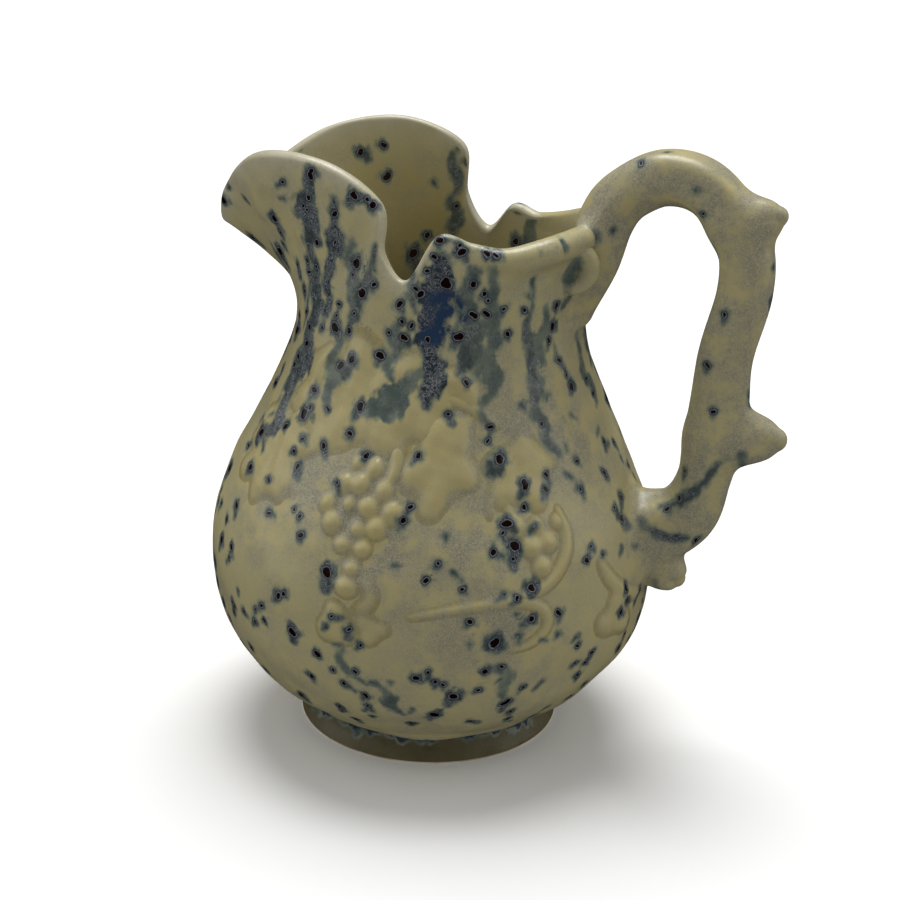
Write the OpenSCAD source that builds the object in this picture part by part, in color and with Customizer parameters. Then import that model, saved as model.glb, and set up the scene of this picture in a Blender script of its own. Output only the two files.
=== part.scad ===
// Ceramic pitcher: a round-bellied body with a wide two-lobed spout and a
// notched rim, a branch-shaped handle, and grape-vine relief on both sides.
// Millimetres. +Z is up, +X points to the handle, -X to the spout, and the
// origin is the centre of the plane that the foot rests on. "Near" is the
// side at -Y and "far" the side at +Y.

/* [Body] */
// Largest radius of the belly
belly_r = 69.5; // [66:0.1:73]
// Height of the widest place of the belly
belly_z = 57; // [55:1:59]
// Radius of the body where it stands on the foot
base_r = 39.5; // [39:0.1:41]
// How full the belly is below its widest place
belly_full = 2.3; // [2:0.1:2.5]
// Radius of the narrowest place of the neck
waist_r = 43; // [42:0.1:45]
// Height of the narrowest place of the neck
waist_z = 141; // [139:1:143]
// Thickness of the wall
wall = 4.5; // [3.5:0.1:5.5]
// Height of the joint between the foot and the body
foot_h = 9; // [8:0.5:10]
// Height at which the round neck ends and the rim starts to spread
neck_z = 129; // [126:1:132]
// How far the rounded lip stands above the edge of the wall
lip_round = 1.6; // [0.8:0.1:2.2]
// How far the neck leans towards the handle
neck_sway = 1.2; // [0:0.1:2]

/* [Foot] */
// Outer radius of the foot ring
foot_r = 41.5; // [40:0.5:43]
// Width of the ring that touches the table
foot_band = 7; // [5:0.5:9]
// Depth of the hollow under the foot
foot_hollow = 4.5; // [3:0.5:6]

/* [Handle] */
// Scale of the handle's thickness
handle_girth = 1; // [0.9:0.02:1.1]

/* [Relief] */
// Radius of one grape
grape_r = 3; // [2.6:0.1:3.1]
// Height of a leaf above the wall
leaf_lift = 1.8; // [1:0.1:2.6]
// Radius of the vine stems
stem_r = 1.5; // [1.2:0.1:2]

/* [Hidden] */

glaze = "#c8bc8c";
glaze_warm = "#cdbf86";
glaze_dark = "#8d8662";

// Height over which the lower belly would close to a point
BELLY_DROP = (belly_z - foot_h)/pow(1 - pow(base_r/belly_r, 2), 1/belly_full);
// The neck leans towards the handle by neck_sway, from SWAY_FROM up
SWAY_FROM = 90;

// Rim, from the tip of the spout round to the handle, on each side:
// [angle at the neck, x near, x far, distance from the middle plane, height near, height far]
RIM = [
    [180, -70, -70, 0, 156, 156],    // tip of the spout
    [160, -64, -64, 13, 168, 167],
    [138, -48, -48, 28, 181, 181],
    [120, -25, -25, 36, 182, 186],   // crest of the lobe
    [106, -7, -5, 38, 173, 179],     // corner of the lobe
    [98, -5, -3, 39, 160, 163],
    [89, 3, 4, 40, 152, 153],        // bottom of the notch
    [78, 12, 13, 39, 165, 161],      // peak beside the notch
    [66, 22, 22, 37, 163, 159],
    [50, 32, 32, 33, 161, 160],
    [30, 43, 43, 22, 163, 163],
    [0, 50, 50, 0, 164, 164]         // at the handle
];
HALF = len(RIM) - 1;

// Handle, from its tail on the neck to its seat on the belly:
// [x, z, half thickness in the middle plane, half thickness across it]
HANDLE = [
    [45, 137, 3, 4],
    [49, 151, 6, 7],
    [51, 165, 8, 8],
    [57, 174, 8, 8],
    [67, 179, 8, 8],
    [80, 176, 8, 8],
    [90, 164, 8, 8],
    [92, 148, 8, 8],
    [88, 127, 8, 8],
    [87, 106, 9, 8],
    [85, 90, 8, 8],
    [79, 77, 10, 9],
    [66, 69, 13, 12]
];
// Radius left at the end of a stub, as a share of its full radius
STUB_END = 0.2;
// Branch stubs on the handle, in its plane
KNOB = stub([88, 167], [101.5, 171], 7);
SPUR = stub([88, 104], [106.8, 105], 8.6);
HEEL = stub([72, 61], [80.3, 56], 7);
// Curl of the twig: middle [x, y, z], its reach along x and z, and its radius
CURL = [44, -16, 153];
CURL_REACH = [5.5, 6];
CURL_R = 3.2;

// Twig round the rim: its radius, and its ends counted in rim stations from the handle
TWIG_R = 2.9;
TWIG_FROM = 2.6;
TWIG_TO = 0.45;

// Grapes of a bunch: rows from the top, each with its count of grapes
GRAPE_TURN = 6;
GRAPE_DROP = 5.3;
GRAPES_LARGE = bunch(-92, 101, [2, 3, 4, 3, 2, 1, 1]);
GRAPES_SMALL = bunch(-44, 85.5, [3, 2, 1]);
// Vine lines on the near side: [angle, height] from one end to the other
STEM = [for (i = [0:5]) let (a = lerp(-84, -52, i/5)) [a, 120 - 8*pow((a + 72)/20, 2)]];
VINE_ARC = oval([-52, 83], [16.5, 16], 20, -90);
TENDRIL = concat([[-77, 62], [-65, 65]], oval([-53, 58.5], [10, 7.5], 90, -90));

NECK_ROWS = 9;
BODY_ROWS = 15;
COLUMNS_PER_STATION = 4;
COLUMNS = 2*HALF*COLUMNS_PER_STATION;
SINK = 0.5;

function unit(v) = v/norm(v);
function lerp(a, b, t) = a + (b - a)*t;
function hold(p, i) = p[max(0, min(len(p) - 1, i))];
function cubic(a, b, c, d, t) =
    b + t/2*((c - a) + t*((2*a - 5*b + 4*c - d) + t*(3*b - a - 3*c + d)));
// Smooth curve through the points p, with u from 0 to len(p) - 1
function through(p, u) =
    let (i = max(0, min(floor(u), len(p) - 2)))
    cubic(hold(p, i - 1), hold(p, i), hold(p, i + 1), hold(p, i + 2), u - i);
function bezier(a, b, c, d, t) =
    let (s = 1 - t) s*s*s*a + 3*s*s*t*b + 3*s*t*t*c + t*t*t*d;

// [x, z, radius] along a stub with a blunt, rounded end
function stub(from, to, r) =
    [for (t = [0:0.25:1]) let (p = lerp(from, to, t))
        [p[0], p[1], r*sqrt(1 - (1 - STUB_END^2)*t^2.4)]];
// [angle, height] of each grape, with a little unevenness
function bunch(angle, top, rows) =
    [for (i = [0:len(rows) - 1], j = [0:rows[i] - 1]) [
        angle + (j - (rows[i] - 1)/2)*GRAPE_TURN + 0.6*sin(97*(i + 2*j)),
        top - i*GRAPE_DROP + 0.5*cos(131*(2*i + j))
    ]];
// [angle, height] along part of an oval
function oval(middle, reach, from, to) =
    [for (i = [0:5]) let (t = lerp(from, to, i/5)) middle + [reach[0]*cos(t), reach[1]*sin(t)]];

// Radius of the outer wall at height z, and the direction out of the wall:
// a superellipse up to the widest place, and one soft wave from there to the waist
function wall_r(z) = z < belly_z
    ? belly_r*sqrt(1 - pow((belly_z - z)/BELLY_DROP, belly_full))
    : waist_r + (belly_r - waist_r)*(1 + cos(180*min(1, (z - belly_z)/(waist_z - belly_z))))/2;
function wall_slope(z) = (wall_r(z + 0.5) - wall_r(z - 0.5));
function wall_out(a, z) = unit([cos(a), sin(a), -wall_slope(z)]);
function smooth(t) = let (s = max(0, min(1, t))) s*s*(3 - 2*s);
function sway(z) = neck_sway*smooth((z - SWAY_FROM)/(neck_z - SWAY_FROM));
function on_wall(a, z, lift) =
    [wall_r(z)*cos(a) + sway(z), wall_r(z)*sin(a), z] + lift*wall_out(a, z);

// The rim as one closed ring of stations: [angle, x, y, height]
RING = concat(
    [for (i = [0:HALF]) [-RIM[i][0], RIM[i][1], -RIM[i][3], RIM[i][4]]],
    [for (i = [HALF - 1:-1:1]) [RIM[i][0], RIM[i][2], RIM[i][3], RIM[i][5]]]
);
function ring_knot(i) =
    let (n = len(RING), turn = floor(i/n)) RING[i - n*turn] + [360*turn, 0, 0, 0];
function rim_at(v) =
    let (i = floor(v))
    cubic(ring_knot(i - 1), ring_knot(i), ring_knot(i + 1), ring_knot(i + 2), v - i);

// Outer wall of one column of the body, with t from 0 at the foot to 1 at the
// neck and 2 at the rim
function column(v, t) =
    let (q = rim_at(v), a = q[0])
    t <= 1
        ? on_wall(a, lerp(foot_h, neck_z, t), 0)
        : let (
            neck = on_wall(a, neck_z, 0),
            edge = [q[1], q[2], q[3] - lip_round],
            rise = edge[2] - neck_z,
            lean = wall_slope(neck_z),
            spread = [edge[0] - neck[0], edge[1] - neck[1], 0]
        )
        bezier(neck, neck + 0.42*rise*[lean*cos(a), lean*sin(a), 1],
            edge - 0.5*spread - [0, 0, 0.25*rise], edge, t - 1);
// Direction of the column, and the direction out of the wall there
function along(v, t) = unit(column(v, min(t + 0.01, 2)) - column(v, t > 1.5 ? t - 0.01 : t));
function outward(v, t) =
    let (a = rim_at(v)[0], e = [cos(a), sin(a), 0], d = along(v, t))
    unit(e*d[2] - [0, 0, 1]*(e*d));

// Closed solid through a stack of rings that turn anticlockwise about the
// direction of the stack, with a flat fan at each end
module skin(rings) {
    m = len(rings[0]);
    n = len(rings);
    points = concat([for (ring = rings) each ring], [mean(rings[0]), mean(rings[n - 1])]);
    sides = [for (k = [0:n - 2], j = [0:m - 1]) let (j1 = (j + 1) % m) each [
        [k*m + j, (k + 1)*m + j, (k + 1)*m + j1],
        [k*m + j, (k + 1)*m + j1, k*m + j1]
    ]];
    ends = [for (j = [0:m - 1]) let (j1 = (j + 1) % m) each [
        [n*m, j, j1],
        [n*m + 1, (n - 1)*m + j1, (n - 1)*m + j]
    ]];
    polyhedron(points, concat(sides, ends), convexity = 6);
}
function mean(ring) = [for (p = ring) 1]*ring/len(ring);

// Ring of points around c, across direction d; rn is the radius along n
function ring_across(c, d, n, rn, rb, sides) =
    let (b = unit(cross(n, d)))
    [for (j = [0:sides - 1]) c + rb*cos(360*j/sides)*b + rn*sin(360*j/sides)*n];

// Round bar in the plane y = y0 through stations [x, z, in-plane, across]
function plane_bar(stations, count, sides) =
    [for (i = [0:count]) let (
        u = i/count*(len(stations) - 1),
        p = through(stations, u),
        e = through(stations, min(u + 0.05, len(stations) - 1)) - through(stations, max(u - 0.05, 0)),
        across = len(p) > 3 ? p[3] : p[2]
    ) ring_across([p[0], 0, p[1]], unit([e[0], 0, e[1]]), [0, 1, 0], across, p[2], sides)];

// The same ring moved into the middle of the wall
function seated(ring) =
    [for (p = ring) let (a = atan2(p[1], p[0] - sway(p[2]))) on_wall(a, p[2], -wall/2)];

// Low dome on the wall, w by h, turned by turn degrees, with a wavy edge
module pad(a, z, w, h, lift, turn = 0, waves = 0, wave = 0, sides = 20) {
    rows = [[1, -SINK], [1, 0.1], [0.84, 0.62*lift], [0.55, 0.92*lift], [0.2, lift]];
    skin([for (row = rows) [for (j = [0:sides - 1]) let (
        t = 360*j/sides,
        edge = row[0]*(1 + wave*cos(waves*t)),
        px = w/2*edge*cos(t),
        py = h/2*edge*sin(t),
        du = px*cos(turn) - py*sin(turn),
        dz = px*sin(turn) + py*cos(turn)
    ) on_wall(a + du/wall_r(z)*180/PI, z + dz, row[1])]]);
}

// Half-sunk round stem along [angle, height] points on the wall
module stem_line(path, r) {
    count = 4*(len(path) - 1);
    skin([for (i = [0:count]) let (
        u = i/count*(len(path) - 1),
        p = through(path, u),
        p0 = through(path, max(u - 0.1, 0)),
        p1 = through(path, min(u + 0.1, len(path) - 1)),
        d = unit(on_wall(p1[0], p1[1], 0) - on_wall(p0[0], p0[1], 0)),
        taper = r*min(1, 0.45 + 1.2*min(i, count - i)/count)
    ) ring_across(on_wall(p[0], p[1], 0.25*r), d, wall_out(p[0], p[1]), taper, taper, 8)]);
}

module grapes(places) {
    for (p = places) pad(p[0], p[1], 2*grape_r, 2*grape_r, 0.85*grape_r, sides = 12);
}

// Makes the far side's copy of a near-side shape
module far() {
    mirror([0, 1, 0]) children();
}

module body() {
    rows = concat(
        [for (k = [0:BODY_ROWS]) pow(k/BODY_ROWS, 1.15)],
        [for (k = [1:NECK_ROWS]) 1 + k/NECK_ROWS]
    );
    columns = [for (j = [0:COLUMNS - 1]) j/COLUMNS_PER_STATION];
    top = rows[len(rows) - 1];
    outer = [for (t = rows) [for (v = columns) column(v, t)]];
    lip = [for (s = [0.25, 0.75]) [for (v = columns)
        column(v, top) - s*wall*outward(v, top) + lip_round*along(v, top)]];
    inner = [for (i = [len(rows) - 1:-1:0]) [for (v = columns)
        column(v, rows[i]) - wall*outward(v, rows[i])]];
    color(glaze) skin(concat(outer, lip, inner));
}

module foot_ring() {
    inside = foot_r - foot_band;
    color(glaze_dark) rotate_extrude($fn = 96) polygon([
        [0, foot_hollow], [inside, foot_hollow], [inside, 0], [foot_r - 1, 0], [foot_r, 1],
        [foot_r - 1.2, 3.2], [foot_r - 2.6, 6], [foot_r - 2.2, foot_h], [0, foot_h]
    ]);
}

module handle() {
    bar = [for (s = HANDLE) [s[0], s[1], handle_girth*s[2], handle_girth*s[3]]];
    rings = plane_bar(bar, 54, 18);
    last = len(rings) - 1;
    color(glaze) skin([for (i = [0:last]) i == 0 || i == last ? seated(rings[i]) : rings[i]]);
}

module handle_stub(stations) {
    color(glaze_warm) skin(plane_bar(stations, 8, 14));
}
module handle_knob() handle_stub(KNOB);
module handle_spur() handle_stub(SPUR);
module handle_heel() handle_stub(HEEL);

// Twig that rounds the outside of the rim as it runs into the handle
module rim_twig(first_side) {
    steps = 16;
    start = first_side < 0 ? HALF - TWIG_FROM : HALF + TWIG_TO;
    end = first_side < 0 ? HALF - TWIG_TO : HALF + TWIG_FROM;
    r = TWIG_R;
    function middle(v) = column(v, 2) + 0.15*r*outward(v, 2) - 0.35*r*along(v, 2);
    color(glaze_warm) skin([for (i = [0:steps]) let (
        v = lerp(start, end, i/steps),
        d = unit(middle(v + 0.1) - middle(v - 0.1)),
        taper = r*min(1, 0.5 + 2*min(i, steps - i)/steps)
    ) ring_across(middle(v), d, outward(v, 2), taper, taper, 10)]);
}
module rim_twig_near() rim_twig(-1);
module rim_twig_far() rim_twig(1);

// Curl that the twig makes where it joins the handle
module root_bud_near() {
    line = [for (t = [0:0.1:1.001]) let (u = 100 - 175*t) CURL
        + [CURL_REACH[0]*cos(u), 3.4*cos(u), CURL_REACH[1]*sin(u)]];
    last = len(line) - 1;
    color(glaze_warm) skin([for (i = [0:last]) let (
        p = line[i],
        d = unit(hold(line, i + 1) - hold(line, i - 1)),
        r = CURL_R*(0.56 + 0.44*sin(180*i/last))
    ) ring_across(p, d, unit([p[0], p[1], 0]), r, r, 12)]);
}
module root_bud_far() far() root_bud_near();

module grapes_large_near() color(glaze_warm) grapes(GRAPES_LARGE);
module grapes_large_far() far() grapes_large_near();
module grapes_small_near() color(glaze_warm) grapes(GRAPES_SMALL);
module grapes_small_far() far() grapes_small_near();

module leaf(a, z, w, h, turn, waves) {
    color(glaze_warm) pad(a, z, w, h, leaf_lift, turn, waves, 0.14, 30);
}
module leaf_crown_near() leaf(-100, 117, 42, 25, 5, 5);
module leaf_crown_far() far() leaf_crown_near();
module leaf_middle_near() leaf(-70, 103, 17, 24, 0, 5);
module leaf_middle_far() far() leaf_middle_near();
module leaf_right_near() leaf(-46, 99, 19, 19, 10, 5);
module leaf_right_far() far() leaf_right_near();
module leaf_low_near() leaf(-96, 59, 13, 18, 0, 3);
module leaf_low_far() far() leaf_low_near();
module leaf_side_near() leaf(-128, 98, 30, 24, 20, 5);
module leaf_side_far() far() leaf_side_near();
module leaf_base_near() leaf(-20, 52, 20, 14, -25, 3);
module leaf_base_far() far() leaf_base_near();

module stem_near() color(glaze_warm) stem_line(STEM, stem_r);
module stem_far() far() stem_near();
module vine_arc_near() color(glaze_warm) stem_line(VINE_ARC, 1.2*stem_r);
module vine_arc_far() far() vine_arc_near();
module tendril_near() color(glaze_warm) stem_line(TENDRIL, 0.85*stem_r);
module tendril_far() far() tendril_near();

body();
foot_ring();
handle();
handle_knob();
handle_spur();
handle_heel();
rim_twig_near();
rim_twig_far();
root_bud_near();
root_bud_far();
grapes_large_near();
grapes_large_far();
grapes_small_near();
grapes_small_far();
leaf_crown_near();
leaf_crown_far();
leaf_middle_near();
leaf_middle_far();
leaf_right_near();
leaf_right_far();
leaf_low_near();
leaf_low_far();
leaf_side_near();
leaf_side_far();
leaf_base_near();
leaf_base_far();
stem_near();
stem_far();
vine_arc_near();
vine_arc_far();
tendril_near();
tendril_far();
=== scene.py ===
"""Looks of a glazed ceramic pitcher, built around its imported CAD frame.

Shapes are worked out in millimetres, in the CAD frame: +Z up, +X to the handle, -X to the spout,
-Y the near side. Meshes are written in metres.
"""

import math

import bpy
import numpy as np
import openvdb
from mathutils import Matrix, Vector


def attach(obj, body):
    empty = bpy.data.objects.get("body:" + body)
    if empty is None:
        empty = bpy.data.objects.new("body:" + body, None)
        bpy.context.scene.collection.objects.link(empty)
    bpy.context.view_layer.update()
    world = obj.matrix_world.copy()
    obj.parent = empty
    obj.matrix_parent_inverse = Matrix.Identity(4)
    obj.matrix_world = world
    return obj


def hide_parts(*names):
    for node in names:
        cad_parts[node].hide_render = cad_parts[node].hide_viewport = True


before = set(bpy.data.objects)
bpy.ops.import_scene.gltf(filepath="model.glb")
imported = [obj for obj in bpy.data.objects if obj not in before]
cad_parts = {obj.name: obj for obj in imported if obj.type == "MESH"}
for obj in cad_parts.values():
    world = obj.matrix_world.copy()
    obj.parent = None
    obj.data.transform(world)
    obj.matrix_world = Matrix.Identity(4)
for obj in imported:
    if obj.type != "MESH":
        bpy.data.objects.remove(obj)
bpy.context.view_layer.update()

MM = 0.001
NEAR, FAR = -1, 1
SIDE_NAME = {NEAR: "near", FAR: "far"}
UP = np.array([0, 0, 1.0])

# -------- body, as in the CAD model
BELLY_R = 69.5
BELLY_Z = 57.0
BASE_R = 39.5
BELLY_FULL = 2.3
WAIST_R = 43.0
WAIST_Z = 141.0
WALL = 4.5
FOOT_H = 9.0
NECK_Z = 129.0
LIP_ROUND = 1.6
NECK_SWAY = 1.2
SWAY_FROM = 90.0
# How strongly the wall keeps its direction above the neck, spreads out, and rises below the rim
NECK_PULL, RIM_FLARE, RIM_PULL = 0.42, 0.5, 0.25
# Height over which the lower belly would close to a point
BELLY_DROP = (BELLY_Z - FOOT_H) / (1 - (BASE_R / BELLY_R)**2)**(1 / BELLY_FULL)
# [angle at the neck, x near, x far, distance from the middle plane, height near, height far]
RIM = [
    [180, -70, -70, 0, 156, 156],    # tip of the spout
    [160, -64, -64, 13, 168, 167],
    [138, -48, -48, 28, 181, 181],
    [120, -25, -25, 36, 182, 186],   # crest of the lobe
    [106, -7, -5, 38, 173, 179],     # corner of the lobe
    [98, -5, -3, 39, 160, 163],
    [89, 3, 4, 40, 152, 153],        # bottom of the notch
    [78, 12, 13, 39, 165, 161],      # peak beside the notch
    [66, 22, 22, 37, 163, 159],
    [50, 32, 32, 33, 161, 160],
    [30, 43, 43, 22, 163, 163],
    [0, 50, 50, 0, 164, 164],        # at the handle
]
HALF = len(RIM) - 1
# One turn, as a step of a rim station
FULL_TURN = np.array([360.0, 0, 0, 0])
RING = np.array(
    [[-s[0], s[1], -s[3], s[4]] for s in RIM]
    + [[s[0], s[2], s[3], s[5]] for s in RIM[HALF - 1:0:-1]], float)

# -------- handle
# The stations are the CAD model's; only the ends of the stubs are rounder here.
# [x, z, half thickness in the middle plane, half thickness across it]
HANDLE = [
    [45, 137, 3, 4], [49, 151, 6, 7], [51, 165, 8, 8], [57, 174, 8, 8], [67, 179, 8, 8], [80, 176, 8, 8],
    [90, 164, 8, 8], [92, 148, 8, 8], [88, 127, 8, 8], [87, 106, 9, 8], [85, 90, 8, 8], [79, 77, 10, 9],
    [66, 69, 13, 12],
]
# A branch stub ends in a half ball; the ball's radius as a share of the stub's full radius
STUB_BALL = 0.42


def stub(first, last, r):
    """[x, z, radius] along a stub whose half ball reaches a little past the last point."""
    first, last = np.array(first, float), np.array(last, float)
    last = last - 0.6 * STUB_BALL * r * (last - first) / np.linalg.norm(last - first)
    return [[*(first + t * (last - first)), r * (1 - (1 - STUB_BALL) * t**3)]
            for t in (0, 0.25, 0.5, 0.75, 1)]


KNOB = stub((88, 167), (101.5, 171), 7)
SPUR = stub((88, 104), (106.8, 105), 8.6)
HEEL = stub((72, 61), (80.3, 56), 7)
# Curl of the rim twig at the handle: middle [x, distance from the middle plane, z], reach, radius
CURL = (44, 16, 153)
CURL_REACH = (5.5, 3.4, 6)
CURL_R = 3.2
# Twig round the rim: its radius, and its ends counted in rim stations from the handle
TWIG_R = 2.9
TWIG_FROM = 2.6
TWIG_TO = 0.45

# -------- relief
# Places are [angle, height] on the near side; the far side mirrors them.
GRAPE_R = 3.0
GRAPE_TURN = 6.0
GRAPE_DROP = 5.3
STEM_R = 1.5


def bunch(angle, top, rows):
    """Grapes in rows from the top, each row with its count, a little uneven."""
    return [[angle + (j - (count - 1) / 2) * GRAPE_TURN + 0.6 * math.sin(math.radians(97 * (i + 2 * j))),
             top - i * GRAPE_DROP + 0.5 * math.cos(math.radians(131 * (2 * i + j)))]
            for i, count in enumerate(rows) for j in range(count)]


def oval(middle, reach, first, last):
    """Six points along part of an oval, from one angle on it to another."""
    turns = [math.radians(first + (last - first) * i / 5) for i in range(6)]
    return [[middle[0] + reach[0] * math.cos(t), middle[1] + reach[1] * math.sin(t)] for t in turns]


GRAPES_LARGE = bunch(-92, 101, [2, 3, 4, 3, 2, 1, 1])
GRAPES_SMALL = bunch(-44, 85.5, [3, 2, 1])
STEM = [[a, 120 - 8 * ((a + 72) / 20)**2] for a in np.linspace(-84, -52, 6)]
VINE_ARC = oval((-52, 83), (16.5, 16), 20, -90)
TENDRIL = [[-77, 62], [-65, 65]] + oval((-53, 58.5), (10, 7.5), 90, -90)
# Leaves: [angle, height, width, height of leaf, turn, lift, lobes, phase]
LEAVES = {
    "leaf_crown": [[-100, 118, 44, 28, 5, 1.7, 7, 1.2], [-80, 118, 17, 19, 20, 1.9, 5, 0.4],
                   [-116, 116, 16, 20, -10, 1.8, 5, 2.0]],
    "leaf_middle": [[-70, 103, 17, 25, -18, 1.6, 5, 0.6], [-68, 111, 11, 8, -35, 1.9, 3, 1.0]],
    "leaf_right": [[-46, 99, 20, 17, 10, 1.6, 5, 0.3], [-42, 104, 13, 7, -20, 1.9, 3, 0.8]],
    "leaf_low": [[-95, 57, 9, 12, 0, 1.5, 3, 1.6], [-86, 57, 8, 8, 20, 0.9, 3, 0.4]],
    "leaf_side": [[-128, 98, 30, 24, 20, 1.4, 7, 0.5], [-120, 104, 12, 12, -20, 1.8, 3, 0.2],
                  [-137, 101, 11, 12, 25, 1.8, 3, 1.2], [-122, 92, 8, 13, 10, 1.7, 3, 2.2]],
    "leaf_base": [[-20, 52, 17, 12, -25, 1.1, 3, 0.8]],
}
# Ridges that belong to a piece: its points and the ridge's radius
RIDGES = {
    "leaf_crown": [(oval((-114, 119), (7, 9), 190, 90), 3.0), (oval((-68, 119), (7, 6), 170, -10), 2.8)],
    "leaf_low": [(oval((-90, 67), (4, 4), 90, -90), 1.4)],
    "leaf_base": [(oval((-5, 80), (22, 25), 200, 270), 1.7)],
    "leaf_middle": [(oval((-77, 104), (13, 8), 90, 10), 1.2)],
    "leaf_right": [(oval((-48, 98), (8, 7), 160, 30), 1.3)],
    "grapes_large": [(oval((-89, 108), (3, 3), 180, 0), 1.6), ([[-84, 106], [-83, 102], [-84, 98]], 2.0)],
    "grapes_small": [(oval((-54, 90), (3, 4), 200, -60), 1.1)],
}

# -------- curves and small helpers


def through(points, u):
    """Smooth curve through the points, with u from 0 to len(points) - 1."""
    p = np.asarray(points, float)
    u = np.asarray(u, float)
    i = np.clip(np.floor(u).astype(int), 0, len(p) - 2)
    t = (u - i).reshape(u.shape + (1,) * (p.ndim - 1))
    a, b, c, d = (p[np.clip(i + k, 0, len(p) - 1)] for k in (-1, 0, 1, 2))
    return cubic(a, b, c, d, t)


def cubic(a, b, c, d, t):
    return b + t / 2 * ((c - a) + t * ((2 * a - 5 * b + 4 * c - d) + t * (3 * b - a - 3 * c + d)))


def unit(v):
    return v / np.maximum(np.linalg.norm(v, axis=-1, keepdims=True), 1e-9)


def length_of(v):
    return np.linalg.norm(v, axis=-1)


def smooth(t):
    s = np.clip(t, 0, 1)
    return s * s * (3 - 2 * s)


def soft_min(a, b, k):
    h = np.maximum(k - np.abs(a - b), 0) / k
    return np.minimum(a, b) - h * h * h * k / 6


def soft_max(a, b, k):
    return -soft_min(-a, -b, k)


def stack(x, y, z):
    return np.stack(np.broadcast_arrays(x, y, z), -1)


SWELL_SEED = 11
# Long soft swells of the hand-finished clay: [wave length, height]
SWELLS = [[95, 0.28], [60, 0.28], [42, 0.26], [30, 0.24], [21, 0.18], [14, 0.1], [9, 0.05]]


def lumps(p):
    """Height of the soft swells at the points p."""
    rng = np.random.default_rng(SWELL_SEED)
    total = np.zeros(p.shape[:-1])
    for length, height in SWELLS:
        for _ in range(3):
            wave = unit(rng.normal(size=3)) * 2 * math.pi / length
            total += height / 2 * np.sin(p @ wave + rng.uniform(0, 6.3))
    return total


def wall_lumps(p):
    """The swells on the wall, which are calmer near the foot."""
    return lumps(p) * np.minimum(1, (p[..., 2] - FOOT_H) / 12 + 0.3)


# -------- body surface


def wall_r(z):
    """A superellipse up to the widest place, and one soft wave from there to the waist."""
    z = np.asarray(z, float)
    down = np.clip((BELLY_Z - z) / BELLY_DROP, 0, 0.99)
    up = np.clip((z - BELLY_Z) / (WAIST_Z - BELLY_Z), 0, 1)
    high = WAIST_R + (BELLY_R - WAIST_R) * (1 + np.cos(math.pi * up)) / 2
    return np.where(z < BELLY_Z, BELLY_R * np.sqrt(1 - down**BELLY_FULL), high)


def wall_slope(z):
    return wall_r(z + 0.5) - wall_r(z - 0.5)


def sway(z):
    return NECK_SWAY * smooth((z - SWAY_FROM) / (NECK_Z - SWAY_FROM))


def radial(a):
    a = np.radians(a)
    return stack(np.cos(a), np.sin(a), 0)


def wall_out(a, z):
    return unit(radial(a) - wall_slope(z)[..., None] * UP)


def wall_at(a, z):
    """Point of the bare outer wall at an angle and a height below the neck."""
    a, z = np.broadcast_arrays(np.asarray(a, float), np.asarray(z, float))
    r = wall_r(z)
    rad = np.radians(a)
    return stack(r * np.cos(rad) + sway(z), r * np.sin(rad), z)


def rim_at(v):
    """Rim station at v: [angle, x, y, z]; v runs from spout to spout round the near side first."""
    n = len(RING)
    i = np.floor(v).astype(int)

    def knot(j):
        turn = np.floor_divide(j, n)
        return RING[j - n * turn] + turn[..., None] * FULL_TURN

    return cubic(knot(i - 1), knot(i), knot(i + 1), knot(i + 2), (v - i)[..., None])


def column(v, t):
    """Outer wall at v, with t from 0 at the foot to 1 at the neck and 2 at the rim."""
    v, t = np.broadcast_arrays(np.asarray(v, float), np.asarray(t, float))
    q = rim_at(v)
    a = q[..., 0]
    low = wall_at(a, FOOT_H + (NECK_Z - FOOT_H) * np.minimum(t, 1))
    neck = wall_at(a, np.full(v.shape, NECK_Z))
    edge = q[..., 1:] - LIP_ROUND * UP
    rise = (edge - neck)[..., 2:]
    lean = wall_slope(np.array(NECK_Z)) * radial(a) + UP
    spread = (edge - neck) * np.array([1, 1, 0])
    b = neck + NECK_PULL * rise * lean
    c = edge - RIM_FLARE * spread - RIM_PULL * rise * UP
    s = (np.clip(t, 1, 2) - 1)[..., None]
    high = (1 - s)**3 * neck + 3 * (1 - s)**2 * s * b + 3 * (1 - s) * s * s * c + s**3 * edge
    return np.where((t <= 1)[..., None], low, high)


def along(v, t):
    return unit(column(v, np.minimum(t + 0.01, 2)) - column(v, np.where(t > 1.5, t - 0.01, t)))


def outward(v, t):
    """Direction out of the wall, in the upright plane at the column's neck angle."""
    e = radial(rim_at(v)[..., 0])
    d = along(v, t)
    return unit(e * d[..., 2:] - UP * (e * d).sum(-1)[..., None])


def wall_grid(v, t):
    """The bare outer wall and its direction out, with a row for each t and a column for each v."""
    v, t = np.broadcast_arrays(v[None, :], t[:, None])
    return column(v, t), outward(v, t)


# Shares of the columns that follow the girth of the belly and the length of the rim
GIRTH_SHARE, RIM_SHARE = 0.72, 0.28


def column_places(count):
    """Values of v that share the columns between the girth of the belly and the length of the rim."""
    fine = np.linspace(0, len(RING), 4001)
    edge = rim_at(fine)
    girth = edge[:, 0] - edge[0, 0]
    length = np.concatenate([[0], np.cumsum(length_of(np.diff(edge[:, 1:], axis=0)))])
    share = GIRTH_SHARE * girth / girth[-1] + RIM_SHARE * length / length[-1]
    return np.interp(np.arange(count) / count, share, fine)


# -------- meshes


def linked(name, data):
    """A new object in the scene."""
    made = bpy.data.objects.new(name, data)
    bpy.context.scene.collection.objects.link(made)
    return made


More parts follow.
